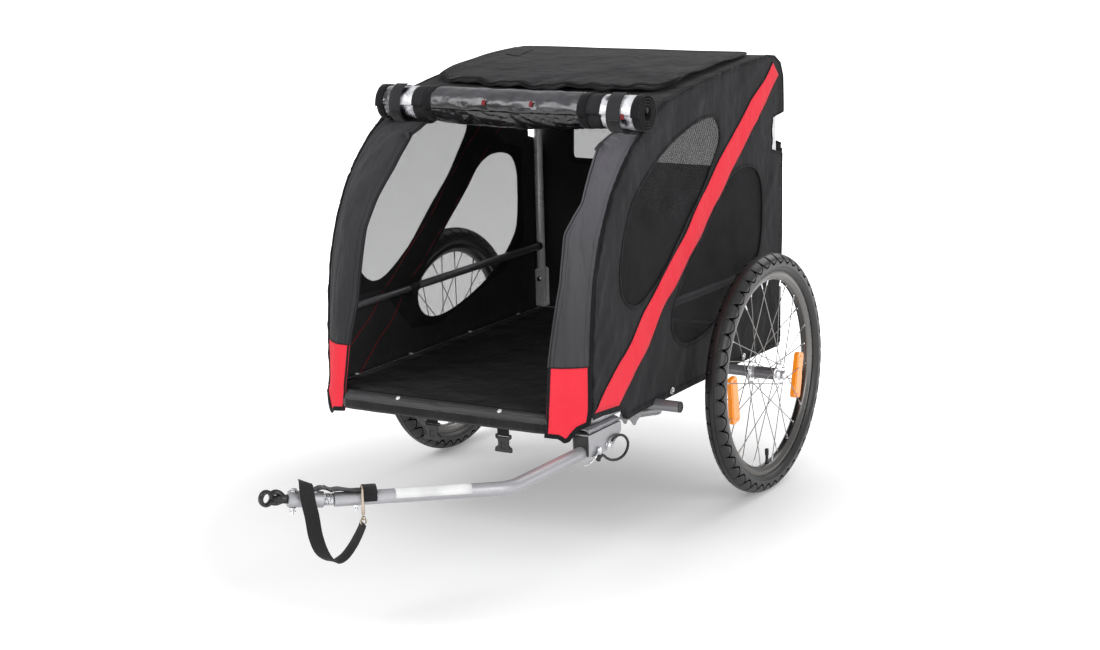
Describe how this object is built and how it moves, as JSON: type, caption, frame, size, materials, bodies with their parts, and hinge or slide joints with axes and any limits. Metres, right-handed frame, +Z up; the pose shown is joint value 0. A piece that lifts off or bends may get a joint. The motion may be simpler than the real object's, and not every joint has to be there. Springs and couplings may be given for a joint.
{
  "type": "bicycle trailer",
  "caption": "Pet trailer for towing behind a bicycle: fabric cabin on a tube frame, spoked wheels, pinned drawbar with sprung hitch, roll-up front cover.",
  "frame": {"origin": "on the ground under the middle of the trailer's outer box", "axes": "+Z up, -Y forward along the drawbar to the bicycle, +X to the trailer's left, where the drawbar and the parking leg are"},
  "size_m": [0.8546, 1.4408, 0.8711],
  "materials": {
    "fabric": "matt charcoal woven cloth",
    "mesh": "fine see-through net",
    "red": "matt red woven cloth",
    "webbing": "ribbed black webbing",
    "vinyl": "soft dark sheet with a slight sheen",
    "silver": "satin silver",
    "grey": "satin dark grey",
    "zinc": "bright zinc",
    "black_steel": "semi-gloss black",
    "plastic": "black moulded plastic",
    "rubber": "black rubber",
    "orange": "orange reflector lens"
  },
  "bodies": {
    "chassis": {"front_cross_tube": "silver", "rear_cross_tube": "silver", "left_side_rail": "silver", "right_side_rail": "silver", "mid_cross_tube": "grey", "axle_tube": "grey", "floor_panel": "fabric", "front_sleeve": "fabric", "left_hoop": "grey", "right_hoop": "grey", "left_rear_post": "grey", "right_rear_post": "grey", "left_side_bar": "grey", "right_side_bar": "grey", "front_roof_bar": "grey", "rear_roof_bar": "grey", "left_post_bracket": "silver", "right_post_bracket": "silver", "leg_bracket": "silver", "left_side_panel": "fabric", "right_side_panel": "fabric", "left_window_mesh": "mesh", "right_window_mesh": "mesh", "left_red_band": "red", "right_red_band": "red", "left_corner_panel": "fabric", "right_corner_panel": "fabric", "roof_panel": "fabric", "rear_panel": "fabric", "rear_window_mesh": "mesh", "roof_flap": "fabric", "roll_up_cover": "vinyl", "left_buckle": "plastic", "right_buckle": "plastic", "left_axle": "zinc", "right_axle": "zinc", "channel_bracket": "silver", "channel_liner": "plastic", "pivot_bolt": "zinc"},
    "left_wheel": {"left_tyre": "rubber", "left_rim": "silver", "left_hub_and_spokes": "zinc", "left_front_reflector": "orange", "left_rear_reflector": "orange"},
    "right_wheel": {"right_tyre": "rubber", "right_rim": "silver", "right_hub_and_spokes": "zinc", "right_front_reflector": "orange", "right_rear_reflector": "orange"},
    "parking_leg": {"parking_leg": "silver"},
    "locking_pin": {"locking_pin": "zinc", "pin_tether": "plastic"},
    "drawbar": {"drawbar": "silver", "coupler_spring": "zinc", "safety_strap": "webbing", "snap_hook": "zinc"},
    "coupler_knuckle": {"spring_core": "zinc"},
    "coupler": {"coupler_tube": "silver", "hitch_eye": "black_steel", "hitch_pin": "zinc"}
  },
  "joints": [
    {"name": "left_wheel_spin", "type": "hinge", "parent": "chassis", "child": "left_wheel", "pos_m": [0.383, 0.4504, 0.245], "axis": [1, 0, 0], "continuous": true},
    {"name": "right_wheel_spin", "type": "hinge", "parent": "chassis", "child": "right_wheel", "pos_m": [-0.383, 0.4504, 0.245], "axis": [1, 0, 0], "continuous": true},
    {"name": "parking_leg_fold", "type": "hinge", "parent": "chassis", "child": "parking_leg", "pos_m": [0.2487, 0.1274, 0.22], "axis": [-1, 0, 0], "range_deg": [0, 80]},
    {"name": "locking_pin_slide", "type": "slide", "parent": "chassis", "child": "locking_pin", "axis": [1, 0, 0], "range_m": [0, 0.045]},
    {"name": "drawbar_fold", "type": "hinge", "parent": "chassis", "child": "drawbar", "pos_m": [0.285, -0.0636, 0.213], "axis": [1, 0, 0], "range_deg": [0, 175]},
    {"name": "coupler_swing", "type": "hinge", "parent": "drawbar", "child": "coupler_knuckle", "pos_m": [0.07315, -0.62434, 0.23116], "axis": [0, 0, 1], "range_deg": [-30, 30], "stiffness_Nm_per_rad": 12, "deforming": ["coupler_spring", "safety_strap"]},
    {"name": "coupler_nod", "type": "hinge", "parent": "coupler_knuckle", "child": "coupler", "pos_m": [0.07315, -0.62434, 0.23116], "axis": [-0.7553, 0.6554, 0], "range_deg": [-20, 20], "stiffness_Nm_per_rad": 12}
  ]
}
